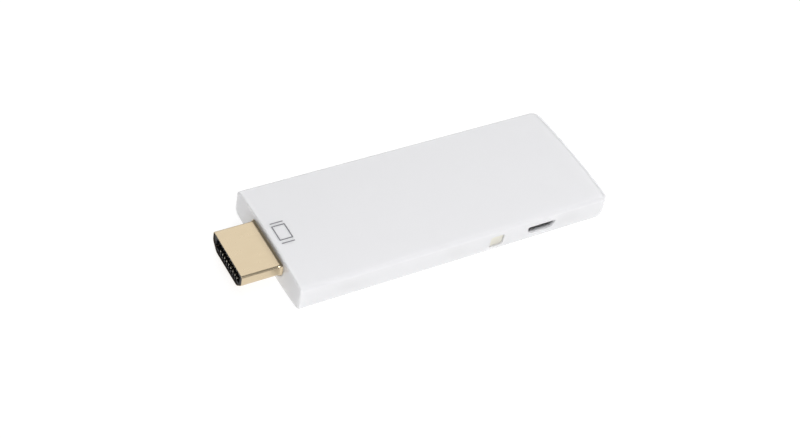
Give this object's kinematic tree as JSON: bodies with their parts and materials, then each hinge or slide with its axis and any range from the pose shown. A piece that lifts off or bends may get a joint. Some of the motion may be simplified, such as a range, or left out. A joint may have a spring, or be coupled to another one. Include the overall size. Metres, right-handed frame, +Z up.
{
  "type": "streaming media player",
  "caption": "Slim white stick with a crowned casing, a fixed gold audio-video plug at one end, and a side power socket and push button.",
  "frame": {"origin": "under the middle of the whole stick, plug included, on the surface that it rests on", "axes": "+X from the plug to the far end, -Y towards the side with the power socket and the button, +Z up through the top"},
  "size_m": [0.086, 0.0304, 0.0077],
  "materials": {
    "white_plastic": "glossy white moulded plastic",
    "cream_plastic": "natural translucent cream plastic",
    "gold_plate": "pale gold plating on stamped steel",
    "black_plastic": "black moulded insulator plastic",
    "contact_metal": "flash plated spring contacts",
    "board": "green solder mask over glass fibre",
    "radio_board": "blue solder mask over glass fibre",
    "chip_black": "black epoxy moulding compound",
    "pad_grey": "soft silicone heat pad",
    "spreader_metal": "rolled aluminium",
    "tin_plate": "tin plated steel sheet",
    "ferrite": "dark sintered ferrite",
    "capacitor_tan": "tan ceramic and tantalum bodies",
    "resistor_black": "black glazed film on white ceramic",
    "plunger_plastic": "heat resistant natural nylon",
    "light_resin": "clear yellowish resin"
  },
  "bodies": {
    "casing": {"top_cover": "white_plastic", "bottom_cover": "white_plastic", "plug_shell": "gold_plate", "plug_insulator": "black_plastic", "plug_contacts_upper": "contact_metal", "plug_contacts_lower": "contact_metal", "main_board": "board", "processor": "chip_black", "thermal_pad": "pad_grey", "heat_spreader": "spreader_metal", "memory_chips": "chip_black", "flash_chip": "chip_black", "power_chip": "chip_black", "inductors": "ferrite", "bulk_capacitors": "capacitor_tan", "capacitors": "capacitor_tan", "resistors": "resistor_black", "crystals": "tin_plate", "radio_board": "radio_board", "radio_shield": "tin_plate", "antenna": "contact_metal", "socket_shell": "tin_plate", "socket_tongue": "black_plastic", "socket_contacts": "contact_metal", "switch_housing": "black_plastic", "switch_cover": "tin_plate", "status_light": "light_resin"},
    "button": {"mode_button": "cream_plastic", "switch_plunger": "plunger_plastic"}
  },
  "joints": [
    {"name": "button_press", "type": "slide", "parent": "casing", "child": "button", "axis": [0, 1, 0], "range_m": [0, 0.00025], "stiffness_N_per_m": 4000, "springref_m": -0.00005}
  ]
}
